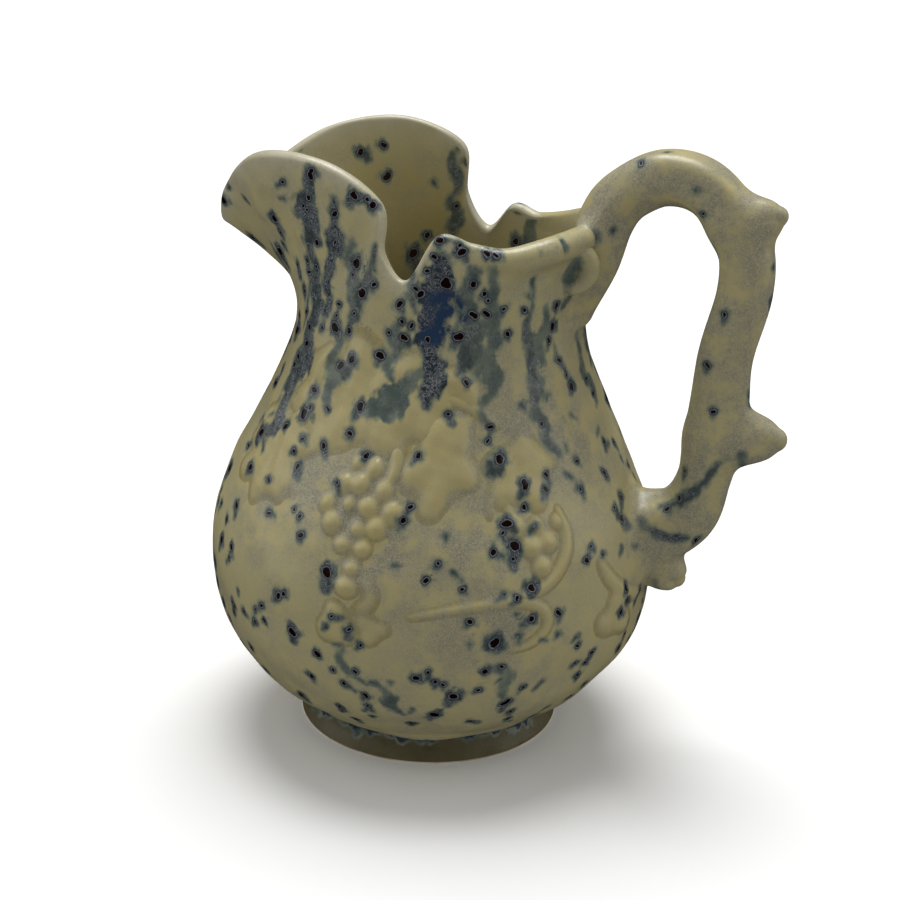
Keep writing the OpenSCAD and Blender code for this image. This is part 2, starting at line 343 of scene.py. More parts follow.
def new_piece(name, points, faces, material, replaces):
    """Makes a mesh piece from points in millimetres."""
    mesh = bpy.data.meshes.new(name)
    mesh.from_pydata((np.asarray(points) * MM).tolist(), [], faces)
    mesh.validate()
    if signed_volume(mesh) < 0:
        mesh.flip_normals()
    mesh.shade_smooth()
    mesh.materials.append(material)
    piece = linked(name, mesh)
    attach(piece, "root")
    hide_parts(*replaces)
    return piece


def coordinates(mesh):
    co = np.empty(len(mesh.vertices) * 3)
    mesh.vertices.foreach_get("co", co)
    return co.reshape(-1, 3)


def signed_volume(mesh):
    mesh.calc_loop_triangles()
    tri = np.empty(len(mesh.loop_triangles) * 3, np.int32)
    mesh.loop_triangles.foreach_get("vertices", tri)
    a, b, c = coordinates(mesh)[tri.reshape(-1, 3)].transpose(1, 0, 2)
    return (a * np.cross(b, c)).sum() / 6


def ring_faces(rows, cols):
    """Quads of a stack of closed rings."""
    i, j = np.meshgrid(np.arange(rows - 1), np.arange(cols), indexing="ij")
    k = (j + 1) % cols
    return np.stack([i * cols + j, i * cols + k, (i + 1) * cols + k, (i + 1) * cols + j],
                    -1).reshape(-1, 4).tolist()


def capped(rings):
    """Closed mesh of a stack of rings, with a fan at each end."""
    rows, cols = rings.shape[:2]
    faces = ring_faces(rows, cols)
    first, last = rows * cols, rows * cols + 1
    for j in range(cols):
        k = (j + 1) % cols
        faces.append([first, k, j])
        faces.append([last, (rows - 1) * cols + j, (rows - 1) * cols + k])
    points = np.concatenate([rings.reshape(-1, 3), [rings[0].mean(0), rings[-1].mean(0)]])
    return points, faces


# -------- body


# Points of the bare outer and inner wall, kept for placing folds and marks
SKINS = {}
# Columns of the body, and its rows below and above the neck
COLS, LOW_ROWS, HIGH_ROWS = ((400, 104, 50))
INSIDE_LOW_ROWS = 45
LIP_ROWS = 10
FLOOR_ROWS = 13
# Folds and creases on the outside of the rim: [angle, height] points, width, height
FOLDS = [
    (oval((-147, 160), (10, 13), 165, -10), 2.6, 0.7),
    (oval((-32, 140), (20, 12), 140, 50), 2.6, -0.8),
    ([[-112, 152], [-104, 161], [-100, 168]], 3.5, -0.5),
]
# Roll of glaze that hangs over the foot joint, and the dip in the middle of the floor inside
SKIRT = 0.8
FLOOR_DIP = 0.6
# Share of the swells on the inner wall
INSIDE_SWELL = 0.6
# Way over which the darker glaze inside takes over, partly painted shade inside the pitcher, and the width of
# the pale lip, partly a painted highlight on the rim
INSIDE_SHADE_FADE = 30
LIP_WIDTH = 5


def build_body(material):
    v = column_places(COLS)
    low = np.arange(LOW_ROWS + 1) / LOW_ROWS
    high = np.arange(HIGH_ROWS + 1) / HIGH_ROWS
    bare, out = wall_grid(v, np.concatenate([low**1.05, 1 + high[1:]]))
    SKINS["outer"] = bare
    SKINS["inner"] = bare - WALL * out
    lift = wall_lumps(bare)
    for path, width, height in FOLDS:
        for side in (NEAR, FAR):
            line = place_path([[-side * a, z] for a, z in path], 60)
            d = length_of(bare[:, :, None] - line[None, None, ::4]).min(-1)
            lift = lift + height * np.exp(-(d / width)**2)
    lift = lift + SKIRT * np.exp(-((bare[..., 2] - FOOT_H - 0.8) / 1.5)**2)
    angle = rim_at(v)[:, 0]
    drip = 0.7 + 0.6 * np.sin(np.radians(angle * 4)) + 0.4 * np.sin(np.radians(angle * 9 + 40))
    outer = bare + out * lift[..., None]
    outer[..., 2] -= drip * np.exp(-((bare[..., 2] - FOOT_H) / 1.2)**2)

    bow = np.radians(np.linspace(0, 180, LIP_ROWS + 2)[1:-1])[:, None, None]
    over = -WALL * (1 - np.cos(bow)) / 2 * out[-1] + LIP_ROUND * np.sin(bow) * along(v, np.full(COLS, 2.0))
    deep = np.arange(1, INSIDE_LOW_ROWS + 1) / INSIDE_LOW_ROWS
    inner_wall, inner_out = wall_grid(v, np.concatenate([2 - high, 1 - deep**1.1]))
    inner_bare = inner_wall - WALL * inner_out
    inner = inner_bare + INSIDE_SWELL * lumps(inner_bare)[..., None] * inner_out
    # Floor inside, which rounds into the wall, and the flat under the body
    share = np.linspace(1, 0.04, FLOOR_ROWS + 1)[1:, None, None]
    floor_in = inner[-1] * share
    floor_in[..., 2] = (inner[-1].mean(0)[2] - FLOOR_DIP * (1 - share**2))[..., 0]
    base = outer[0] * np.linspace(0.3, 0.97, 4)[:, None, None]
    base[..., 2] = FOOT_H + 0.02
    rings = np.concatenate([base, outer, outer[-1] + over, inner, floor_in])
    points, faces = capped(rings)
    bare_points, _ = capped(np.concatenate([base, bare, bare[-1] + over, inner_bare, floor_in]))
    # Share of the darker inner glaze, partly painted shade inside the pitcher: none outside, from the lip
    # down it comes in over some millimetres
    depth = np.cumsum(length_of(np.diff(inner, axis=0, prepend=inner[:1])), axis=0)
    none = np.zeros((len(base) + len(outer) + len(over), COLS))
    inside_glaze_and_shade = np.concatenate([none, smooth(depth / INSIDE_SHADE_FADE), np.ones(floor_in.shape[:2])])
    inside_glaze_and_shade = np.append(inside_glaze_and_shade.ravel(), [0, 1])
    crest = (outer[-1] + over)[len(over) // 2]
    near_lip = np.concatenate([length_of(ring - crest) for ring in rings])
    # Pale band along the lip: partly pale glaze at the rim, partly painted highlight on the top-lit crest
    lip = np.exp(-(np.append(near_lip, [99, 99]) / LIP_WIDTH)**2)
    piece = new_piece("pitcher_body", points, faces, material, ["body"])
    return piece, points, bare_points, inside_glaze_and_shade, lip


def place(a, z, skin="outer"):
    """Point of the bare wall nearest to an angle and a height, rim and lobes included."""
    grid = SKINS[skin].reshape(-1, 3)
    radius = np.hypot(grid[:, 0], grid[:, 1])
    turn = (np.degrees(np.arctan2(grid[:, 1], grid[:, 0])) - a + 180) % 360 - 180
    miss = (np.radians(turn) * radius)**2 + (grid[:, 2] - z)**2
    return grid[np.argmin(miss)]


def place_inside(a, z):
    return place(a, z, "inner")


def place_path(path, count):
    points = np.array([place(a, z) for a, z in path])
    return through(points, np.linspace(0, len(path) - 1, count))


# -------- foot


FOOT_R = 41.5
FOOT_BAND = 7.0
FOOT_HOLLOW = 4.5
FOOT_COLS = 240
FOOT_SWELL = 0.5
# Outer side of the foot ring: [radius, height] from the table up to the joint
FOOT_SIDE = [[41.2, 0], [41.5, 0.7], [41.2, 1.6], [40.3, 3.2], [39.4, 4.8], [39, 6.4], [39.1, 8], [39.2, 9]]


def build_foot(material, clay):
    inside = FOOT_R - FOOT_BAND
    side = through(FOOT_SIDE, np.linspace(0, len(FOOT_SIDE) - 1, 26))
    under = [[2, FOOT_HOLLOW], [18, FOOT_HOLLOW], [inside - 2.2, FOOT_HOLLOW], [inside - 0.8, 4.1],
             [inside - 0.15, 3], [inside, 1.2], [inside + 0.3, 0.35], [inside + 1, 0],
             [inside + 3.2, 0], [FOOT_R - 1.2, 0]]
    profile = np.concatenate([under, side, [[30, FOOT_H], [2, FOOT_H]]])
    a = np.arange(FOOT_COLS) * 360 / FOOT_COLS
    rings = profile[:, None, :1] * radial(a)[None] + stack(0, 0, profile[:, 1])[:, None]
    wobble = lumps(rings) * FOOT_SWELL * (profile[:, 1] > 0.9)[:, None]
    rings = rings + wobble[..., None] * radial(a)[None]
    points, faces = capped(rings)
    piece = new_piece("foot_ring_glazed", points, faces, material, ["foot_ring"])
    piece.data.materials.append(clay)
    for face in piece.data.polygons:
        face.material_index = int(face.normal.z < -0.35 and face.center.z < 5.2 * MM)
    return piece


# -------- luted clay pieces


VOXEL = 0.5
# How far under the host's skin a fillet runs out, and how far from its piece, as a share of its size
FILLET_SINK = 0.12
FILLET_REACH = 0.75
HANDLE_FILLET = 9.0
HANDLE_DEPTH = 3.0
STUB_DEPTH = 2.0
TUBE_FILLET = 6.5
TUBE_DEPTH = 2.2


class Block:
    """A block of voxels: distances to shapes at its points, in millimetres."""

    def __init__(self, low, high):
        self.start = np.floor(np.array(low) / VOXEL).astype(int)
        self.size = np.ceil(np.array(high) / VOXEL).astype(int) - self.start + 1
        x, y, z = (VOXEL * (s + np.arange(n)) for s, n in zip(self.start, self.size))
        self.x, self.y, self.z = x[:, None, None], y[None, :, None], z[None, None, :]

    def read(self, grid):
        values = np.empty(tuple(self.size), np.float32)
        grid.copyToArray(values, ijk=tuple(int(i) for i in self.start))
        return values

    def bar(self, stations, ridges=None):
        """Distance to a bar in the middle plane: [x, z, in-plane radius, radius across]."""
        fine = np.linspace(0, len(stations) - 1, 60 * (len(stations) - 1) + 1)
        line = through(stations, fine)
        if line.shape[1] == 3:
            line = np.concatenate([line, line[:, 2:]], axis=1)
        x, z = (q[:, 0, :].ravel() for q in np.broadcast_arrays(self.x, self.z))
        nearest = np.empty(len(x), int)
        for k in range(0, len(x), 4000):
            miss = np.hypot(x[k:k + 4000, None] - line[None, :, 0], z[k:k + 4000, None] - line[None, :, 1])
            nearest[k:k + 4000] = np.argmin(miss - 0.5 * line[None, :, 2], axis=1)
        q = line[nearest]
        ahead = through(stations, np.minimum(fine + 0.02, fine[-1]))[nearest, :2]
        behind = through(stations, np.maximum(fine - 0.02, 0))[nearest, :2]
        d = unit(ahead - behind)
        gap = np.stack([x - q[:, 0], z - q[:, 1]], -1)
        side = gap[:, 0] * -d[:, 1] + gap[:, 1] * d[:, 0]
        reach = np.hypot(gap[:, 0], gap[:, 1]) * np.sign(side)
        shape = (len(self.x), 1, len(self.z[0, 0]))
        reach, ra, rb, u = (w.reshape(shape) for w in (reach, q[:, 2], q[:, 3], fine[nearest]))
        if ridges is not None:
            turn = np.arctan2(self.y / rb, reach / ra)
            grow = ridges(u, turn)
            ra, rb = ra * grow, rb * grow
        return (np.sqrt((reach / ra)**2 + (self.y / rb)**2) - 1) * np.minimum(ra, rb)

    def tube(self, centres, radii):
        """Distance to a round tube along a line of points."""
        best = np.full(tuple(self.size), 1e3)
        for a, b, ra, rb in zip(centres[:-1], centres[1:], radii[:-1], radii[1:]):
            d = b - a
            s = ((self.x - a[0]) * d[0] + (self.y - a[1]) * d[1] + (self.z - a[2]) * d[2]) / (d @ d)
            s = np.clip(s, 0, 1)
            away = np.sqrt((self.x - a[0] - s * d[0])**2 + (self.y - a[1] - s * d[1])**2
                           + (self.z - a[2] - s * d[2])**2)
            best = soft_min(best, away - ra - s * (rb - ra), 0.4)
        return best

    def mesh(self, values):
        grid = openvdb.FloatGrid(10.0)
        grid.copyFromArray(values.astype(np.float32), ijk=tuple(int(i) for i in self.start))
        grid.transform = openvdb.createLinearTransform(voxelSize=VOXEL)
        points, quads = grid.convertToQuads(0.0)
        return relaxed(points.astype(float), quads.astype(int))


def relaxed(points, quads, rounds=3):
    """Evens out the small steps of the voxels."""
    ends = np.concatenate([quads[:, [i, (i + 1) % 4]] for i in range(4)])
    for step in (0.5, -0.52) * rounds:
        total = np.zeros_like(points)
        count = np.zeros(len(points))
        for one, other in ((ends[:, 0], ends[:, 1]), (ends[:, 1], ends[:, 0])):
            np.add.at(total, one, points[other])
            np.add.at(count, one, 1)
        points = points + step * (total / np.maximum(count, 1)[:, None] - points)
    return points, quads.tolist()


def luted_piece(block, part, host, fillet, depth, names, material):
    """A clay piece pressed onto its host; names are its own and the CAD node's.

    The fillet runs out just under the host's skin, and the piece reaches down to the depth.
    """
    joined = soft_min(part, host + FILLET_SINK, fillet)
    joined = np.maximum(joined, -(host + depth))
    points, faces = block.mesh(np.maximum(joined, part - FILLET_REACH * fillet))
    return new_piece(names[0], points, faces, material, [names[1]])


def body_level_set(points, faces):
    quads = np.array([f for f in faces if len(f) == 4], np.uint32)
    tris = np.array([f for f in faces if len(f) == 3], np.uint32)
    return openvdb.FloatGrid.createLevelSetFromPolygons(
        points.astype(np.float32), triangles=tris, quads=quads,
        transform=openvdb.createLinearTransform(voxelSize=VOXEL), halfWidth=16)


def handle_ridges(u, turn):
    """Soft lengthwise ridges of a pruned branch, and a flatter inner face."""
    waves = 0.035 * np.cos(5 * turn + 0.9 * u) + 0.022 * np.cos(3 * turn - 0.7 * u)
    knots = 0.035 * np.sin(3.1 * u) * np.cos(turn - 0.8)
    inner = smooth((u - 4) / 1.5) * smooth((9.5 - u) / 1.5) * np.exp(-((np.abs(turn) - math.pi) / 0.5)**2)
    return 1 + waves + knots - 0.06 * inner


def build_handle(host_grid, material):
    block = Block([34, -24, 44], [112, 24, 194])
    host = block.read(host_grid)
    bar = block.bar(HANDLE, handle_ridges)
    pieces = [luted_piece(block, bar, host, HANDLE_FILLET, HANDLE_DEPTH, ("handle_branch", "handle"),
                          material)]
    below = np.minimum(bar, host)
    for name, stations, fillet in (("knob", KNOB, 7.0), ("spur", SPUR, 6.0), ("heel", HEEL, 4.5)):
        names = ("branch_" + name, "handle_" + name)
        pieces.append(luted_piece(block, block.bar(stations), below, fillet, STUB_DEPTH, names,
                                  material))
    return pieces


def luted_tube(middle, radii, margin, host_grid, names, side, material):
    """A tube luted onto the body, in a block with a margin round it."""
    block = Block(middle.min(0) - margin, middle.max(0) + margin)
    names = [name + SIDE_NAME[side] for name in names]
    return luted_piece(block, block.tube(middle, radii), block.read(host_grid), TUBE_FILLET, TUBE_DEPTH,
                       names, material)


# Stations along a twig and along a curl
TWIG_STEPS = 25
CURL_STEPS = 17
# How far the curl is pressed into the handle's root
BUD_SUNK = 1.6


def build_twig(side, host_grid, material):
    v = HALF + side * np.linspace(TWIG_FROM, TWIG_TO, TWIG_STEPS)
    t = np.full(v.shape, 2.0)
    middle = column(v, t) - 0.25 * TWIG_R * outward(v, t) - 0.5 * TWIG_R * along(v, t)
    radii = TWIG_R * (0.35 + 0.62 * smooth(np.arange(TWIG_STEPS) / 15))
    return luted_tube(middle, radii, 7, host_grid, ("twig_", "rim_twig_"), side, material)


def build_bud(side, host_grid, material):
    share = np.linspace(0, 1, CURL_STEPS)
    u = np.radians(100 - 175 * share)
    across = CURL[1] - BUD_SUNK - CURL_REACH[1] * np.cos(u)
    middle = stack(CURL[0] + CURL_REACH[0] * np.cos(u), side * across, CURL[2] + CURL_REACH[2] * np.sin(u))
    radii = 0.85 * CURL_R * (0.56 + 0.44 * np.sin(math.pi * share))
    return luted_tube(middle, radii, 10, host_grid, ("scroll_", "root_bud_"), side, material)


# -------- relief on the wall


RELIEF_STEP = 0.42
SUNK = 0.1
# How far the thick glaze rounds the relief off: fruit and stems, and the broader leaves
GLAZE_BLUR = 0.85
LEAF_BLUR = 1.25
# How far shapes of one piece melt into each other, and a piece into the wall
FRUIT_MELT, LEAF_MELT, EDGE_MELT = 1.3, 1.6, 1.5
# How far the back of a piece lies under its edge, which has sunk into the wall
RELIEF_BACK = 1.2
# Height of a vine as a share of its radius
VINE_RISE = 0.75


def softened(values, sigma):
    """Gaussian blur of a height grid, sigma in millimetres."""
    reach = int(math.ceil(2.5 * sigma / RELIEF_STEP))
    weights = np.exp(-0.5 * (np.arange(-reach, reach + 1) * RELIEF_STEP / sigma)**2)
    weights /= weights.sum()
    for axis in (0, 1):
        count = values.shape[axis]
        padded = np.pad(values, [(reach, reach) if k == axis else (0, 0) for k in (0, 1)], mode="edge")
        values = sum(w * np.take(padded, np.arange(k, k + count), axis=axis) for k, w in enumerate(weights))
    return values


class Patch:
    """A patch of the wall as a flat grid: s along the wall, z up."""

    def __init__(self, low, high, side):
        self.side = side
        middle_z = (low[1] + high[1]) / 2
        self.girth = math.radians(1) * float(wall_r(np.array(middle_z)))
        self.angles = np.arange(low[0] * self.girth, high[0] * self.girth, RELIEF_STEP) / self.girth
        self.heights = np.arange(low[1], high[1], RELIEF_STEP)
        self.a, self.z = np.meshgrid(self.angles, self.heights, indexing="ij")
        self.s = self.a * self.girth

    def offset(self, a, z):
        return self.s - a * self.girth, self.z - z

    def leaf(self, a, z, w, h, turn, lift, lobes, phase):
        """A cupped leaf with folded lobes; its height goes on below the wall outside its edge."""
        x, y = self.offset(a, z)
        turn = math.radians(turn)
        px = (x * math.cos(turn) + y * math.sin(turn)) / (w / 2)
        py = (-x * math.sin(turn) + y * math.cos(turn)) / (h / 2)
        t = np.arctan2(py, px)
        spoke = np.cos(lobes * t + phase)
        edge = 1 + 0.14 * spoke + 0.05 * np.cos((2 * lobes - 1) * t + 2.1 * phase)
        q = np.minimum(np.hypot(px, py) / edge, 1.6)
        crinkle = 0.12 * np.sin(1.1 * x + 0.7 * y) * np.sin(0.9 * y - 0.5 * x + phase)
        bed = np.where(q < 1, (1 - q**3.5) * (0.6 + 0.5 * q * q), 3.8 * (1 - q))
        return 1.15 * lift * bed + (0.38 * spoke * smooth(1.6 * q) + 4 * crinkle) * (q < 1.2)

    def grape(self, a, z):
        x, y = self.offset(a, z)
        size = GRAPE_R * (0.76 + 0.15 * math.sin(5 * a + 3 * z))
        d = np.hypot(x, y) / size
        return 0.74 * size * np.where(d < 0.92, np.sqrt(np.maximum(1 - d * d, 0)), 0.392 - 2.4 * (d - 0.92))

    def vine(self, path, radius):
        """A half-round line that gets thinner at its ends."""
        u = np.linspace(0, len(path) - 1, 40 * (len(path) - 1))
        line = through(path, u)
        best = np.full(self.s.shape, 1e3)
        taper = radius * np.minimum(1, 0.45 + 2.4 * np.minimum(u, u[-1] - u) / u[-1])
        for (a, z), r in zip(line, taper):
            x, y = self.offset(a, z)
            best = np.minimum(best, np.hypot(x, y) / r)
        return VINE_RISE * radius * (1 - best**1.7)

    def finish(self, name, height, blur, material, replaces):
        """Closed solid from the height over the wall, cut where it has sunk into the wall."""
        height = softened(soft_max(height, np.full(height.shape, -SUNK), EDGE_MELT), blur)
        keep = height > -SUNK + 0.02
        cell = keep[:-1, :-1] | keep[1:, :-1] | keep[:-1, 1:] | keep[1:, 1:]
        for _ in range(3):
            pinch = (cell[:-1, :-1] & cell[1:, 1:] & ~cell[1:, :-1] & ~cell[:-1, 1:]) | (
                ~cell[:-1, :-1] & ~cell[1:, 1:] & cell[1:, :-1] & cell[:-1, 1:])
            for i, j in np.argwhere(pinch):
                cell[i:i + 2, j:j + 2] = True
        angle = -self.side * self.a
        bare = wall_at(angle, self.z)
        out = wall_out(angle, self.z)
        swell = wall_lumps(bare)
        outer = bare + out * (swell + height)[..., None]
        inner = bare + out * (swell - SUNK - RELIEF_BACK)[..., None]
        n = self.a.size
        index = np.arange(n).reshape(self.a.shape)
        i, j = np.nonzero(cell)
        quad = np.stack([index[i, j], index[i + 1, j], index[i + 1, j + 1], index[i, j + 1]], -1)
        faces = np.concatenate([quad, quad[:, ::-1] + n])
        padded = np.pad(cell, 1)
        walls = []
        for di, dj, e in ((-1, 0, (3, 0)), (1, 0, (1, 2)), (0, -1, (0, 1)), (0, 1, (2, 3))):
            edge = ~padded[i + 1 + di, j + 1 + dj]
            p, q = quad[edge, e[0]], quad[edge, e[1]]
            walls.append(np.stack([q, p, p + n, q + n], -1))
        faces = np.concatenate([faces] + walls)
        used, faces = np.unique(faces, return_inverse=True)
        faces = faces.reshape(-1, 4)
        points = np.concatenate([outer.reshape(-1, 3), inner.reshape(-1, 3)])[used]
        bare = bare.reshape(-1, 3)[used % n]
        raised = height.ravel()[used % n]
        piece = new_piece(name, points, faces.tolist(), material, replaces)
        return piece, bare, raised


def blend_all(shapes, k):
    total = shapes[0]
    for shape in shapes[1:]:
        total = soft_max(total, shape, k)
    return total


def build_relief(side, material):
    """Every relief piece of one side: (piece, bare points, height)."""
    word = "_" + SIDE_NAME[side]

    def patch_round(places, margin):
        p = np.array([q[:2] for q in places], float)
        girth = math.radians(1) * BELLY_R
        spread = np.array([margin / girth, margin])
        return Patch(p.min(0) - spread, p.max(0) + spread, side)

    made = []

    def add(name, node, patch, height, blur=GLAZE_BLUR):
        made.append(patch.finish(name + word, height, blur, material, [node + word]))

    for name, node, places in (("grape_bunch", "grapes_large", GRAPES_LARGE),
                               ("grape_sprig", "grapes_small", GRAPES_SMALL)):
        patch = patch_round(places + [p for path, _ in RIDGES[node] for p in path], 6)
        shapes = [patch.grape(a, z) for a, z in places] + [patch.vine(*ridge) for ridge in RIDGES[node]]
        add(name, node, patch, blend_all(shapes, FRUIT_MELT))
    for node, leaves in LEAVES.items():
        ridges = RIDGES.get(node, [])
        patch = patch_round(leaves + [p for path, _ in ridges for p in path],
                            7 + max(max(q[2:4]) for q in leaves) / 1.6)
        shapes = [patch.leaf(*leaf) for leaf in leaves] + [patch.vine(*ridge) for ridge in ridges]
        add("vine_" + node, node, patch, blend_all(shapes, LEAF_MELT), LEAF_BLUR)
    for name, node, path, radius in (("vine_stem", "stem", STEM, STEM_R),
                                     ("vine_curl", "vine_arc", VINE_ARC, 1.2 * STEM_R),
                                     ("vine_tendril", "tendril", TENDRIL, STEM_R)):
        patch = patch_round(path, 6)
        add(name, node, patch, patch.vine(path, radius))
    return made


# -------- glaze marks


# Crystal spots lie all round in zones of height: (heights, count, least gap)
SPOT_ZONES = [((19, 62), 170, 5.5), ((62, 126), 170, 6.0), ((126, 180), 110, 5.0)]
SPOT_SIZES = [1, 2, 3, 3, 4, 4, 5, 5, 6, 8]
# The runs that mark this pitcher out, on each side: (angle, height, length, half width, lean, blue)
MAIN_RUNS = [
    (-70, 158, 40, 6.0, -6, 1.0),    # under the peak beside the notch
    (-76, 128, 14, 5.0, -16, 0.3),   # its foot, which spreads over the crown leaf
    (-60, 156, 30, 3.4, 4, 0.5),
    (-130, 178, 82, 4.6, -3, 0.8),   # down the lobe of the spout
    (-118, 172, 34, 3.2, -5, 0.9),
    (-100, 160, 24, 2.4, -6, 0.7),
    (-50, 157, 44, 3.4, -5, 0.3),
    (-38, 152, 50, 2.8, 5, 0.6),
]
# Runs on the inner wall, in the same form
INSIDE_RUNS = [(100, 177, 30, 2.6, 2, 0.6), (60, 160, 20, 2.4, 3, 0.3)]
# Smaller runs are scattered: (heights, count, longest), and the least gap between them
RUN_ZONES = [((128, 160), 32, 24), ((30, 60), 14, 15)]
RUN_GAP = 12
# Runs down both sides of the handle: start and step along it, start and step of the turn,
# least and greatest half width, blue
HANDLE_RUNS = [(9, 0.5, 0.8, 0.4, 0.9, 2.1, 0.7), (11, 0.15, 1.0, 0.3, 1, 2.2, 0.8)]
# Spots and small runs scattered on the inner wall: (count, heights, least gap)
INSIDE_SPOTS = (44, (140, 182), 7)
INSIDE_DRIPS = (4, (155, 175), 30)
# Share of the outside spots that get another one above or below them
PAIRED = 0.3
# Places that are tried for the scattered marks of one kind
TRIES = 6000
# Seeds of the marks on the outside and on the inner wall
OUTSIDE_SEED, INSIDE_SEED = 5, 6
HANDLE_SPOTS = 34
HANDLE_SIZES = [2, 2, 3, 3, 4, 5]


def halo_radius(size):
    return 0.75 + 0.33 * size


class Marks:
    """Capsules of glaze with a start and an end radius; each mark has its own tag."""

    def __init__(self, seed):
        self.rng = np.random.default_rng(seed)
        self.made = {"halo": [], "core": []}

    def tag(self):
        return unit(self.rng.normal(size=3))

    def spot(self, middle, low, size):
        halo = halo_radius(size)
        self.made["halo"].append((middle, low, halo, halo * self.rng.uniform(0.35, 0.75), 0.75, self.tag()))
        if size > 2:
            core = 0.17 * size - 0.08
            shift = self.rng.uniform(-0.4, 0.4, 3)
            self.made["core"].append((middle + shift, middle - shift, core, core * 0.8, 1.0, self.tag()))

    def wall_spot(self, a, z, size, find):
        fall = halo_radius(size) * self.rng.uniform(0.2, 1.4)
        self.spot(find(a, z), find(a + self.rng.uniform(-2, 2), z - fall), size)

    def run(self, line, blue):
        """A run through [x, y, z, half width] stations."""
        line = through(line, np.linspace(0, len(line) - 1, 5 * len(line)))
        tag = self.tag()
        self.made["halo"] += [(p[:3], q[:3], p[3], q[3], blue, tag) for p, q in zip(line[:-1], line[1:])]

    def wall_run(self, a, z, length, width, lean, blue, find):
        """A run that wanders down the wall, swells a few times and ends in a drop."""
        count = max(3, round(length / 4.5))
        stations = []
        for t in np.linspace(0, 1, count + 1):
            swell = width * self.rng.uniform(0.5, 1.2) * (0.3 + 0.7 * math.sin(math.pi * (0.08 + 0.84 * t)))
            spot = find(a + lean * t + self.rng.uniform(-2.4, 2.4), z - length * t)
            stations.append(np.append(spot, swell))
            if self.rng.random() < 0.25 * blue:
                self.spot(spot, spot - 1.5 * UP, int(self.rng.choice([3, 4, 5])))
        self.run(stations, blue)


def scattered(rng, count, heights, gap):
    """Seeded spots on the wall, each at least gap away from the others."""
    points, spots = np.zeros((0, 3)), []
    for _ in range(TRIES):
        a, z = rng.uniform(-180, 180), rng.uniform(*heights)
        p = wall_at(a, min(z, NECK_Z)) + max(z - NECK_Z, 0) * UP
        if len(spots) < count and (length_of(points - p) > gap).all():
            points = np.vstack([points, p])
            spots.append((a, z, int(rng.choice(SPOT_SIZES))))
    return spots


def handle_surface(u, turn):
    """Point on the handle's skin, with turn from its outer side round to the far side."""
    x, z, thick, across = through(HANDLE, u)
    ahead = unit(through(HANDLE, u + 0.05)[:2] - through(HANDLE, u - 0.05)[:2])
    out = thick * math.cos(turn)
    return np.array([x - ahead[1] * out, across * math.sin(turn), z + ahead[0] * out])


def mark_handle(marks):
    rng = marks.rng
    for k in range(HANDLE_SPOTS):
        u = 1.5 + 10 * (k + rng.uniform(0.1, 0.9)) / HANDLE_SPOTS
        middle = handle_surface(u, rng.uniform(-math.pi, math.pi))
        size = int(rng.choice(HANDLE_SIZES))
        marks.spot(middle, middle - 0.5 * size * UP, size)
    # Blue that slid down both sides below the spur
    for side in (NEAR, FAR):
        for u, step, turn, twist, thin, thick, blue in HANDLE_RUNS:
            line = [handle_surface(u + step * k, side * (turn + twist * k)) for k in range(5)]
            marks.run([np.append(p, rng.uniform(thin, thick)) for p in line], blue)
    # Thin glaze that gathered under the stubs
    for base, radius in ((SPUR[2], 8), (HEEL[1], 6.5)):
        turns = np.radians([100, 130, 160, 190, 220, 250])
        marks.run([[base[0], radius * math.sin(t), base[1] + radius * math.cos(t), rng.uniform(0.8, 1.5)]
                   for t in turns], 0.3)


def foot_station(a, r, z, width):
    return np.append(radial(a) * r + [0, 0, z], width)


def mark_foot(marks):
    """Blue that gathered over the foot joint, with a few drips down the ring."""
    rng = marks.rng
    joint = float(wall_r(FOOT_H))
    for start in range(-180, 180, 30):
        angles = np.linspace(start, start + rng.uniform(18, 30), 5)
        widths = np.array([0.4, 1.0, 0.7, 1.0, 0.4]) * rng.uniform(2.4, 3.8)
        marks.run([foot_station(a, joint - 0.3, FOOT_H - 0.9, w) for a, w in zip(angles, widths)], 1.0)
    for k in range(6):
        angle = -170 + 60 * k + rng.uniform(0, 45)
        low = rng.uniform(3.5, 6.5)
        marks.run([foot_station(angle, FOOT_R - 1.6, z, w)
                   for z, w in ((FOOT_H - 1, 3.0), ((FOOT_H + low) / 2, 2.2), (low, 1.5))], 1.0)


def all_marks():
    """Marks on the outside and marks on the inner wall."""
    marks, inside = Marks(OUTSIDE_SEED), Marks(INSIDE_SEED)
    rng = marks.rng
    for heights, count, gap in SPOT_ZONES:
        for a, z, size in scattered(rng, count, heights, gap):
            marks.wall_spot(a, z, size, place)
            if rng.random() < PAIRED:
                marks.wall_spot(a + rng.uniform(-3, 3), z + rng.choice([-4, 4]), 3, place)
    for a, z, length, width, lean, blue in MAIN_RUNS:
        marks.wall_run(a, z, length, width, lean, blue, place)
        marks.wall_run(-a, z, length * rng.uniform(0.6, 1.1), width, -lean, blue, place)
    for heights, count, longest in RUN_ZONES:
        for a, z, _ in scattered(rng, count, heights, RUN_GAP):
            marks.wall_run(a, z, rng.uniform(0.4, 1) * longest, rng.uniform(1.3, 3.2), rng.uniform(-6, 6),
                           rng.uniform(0.1, 0.8), place)
    for run in INSIDE_RUNS:
        inside.wall_run(*run, place_inside)
    for a, z, size in scattered(inside.rng, *INSIDE_SPOTS):
        inside.wall_spot(a, z, size, place_inside)
    for a, z, _ in scattered(inside.rng, *INSIDE_DRIPS):
        inside.wall_run(a, z, 18, 1.5, 2, 0.5, place_inside)
    mark_handle(marks)
    mark_foot(marks)
    return marks, inside


# A way that is far from every mark, and how far round a mark its values are worked out
FAR_AWAY = 9.0
FIELD_REACH = 4


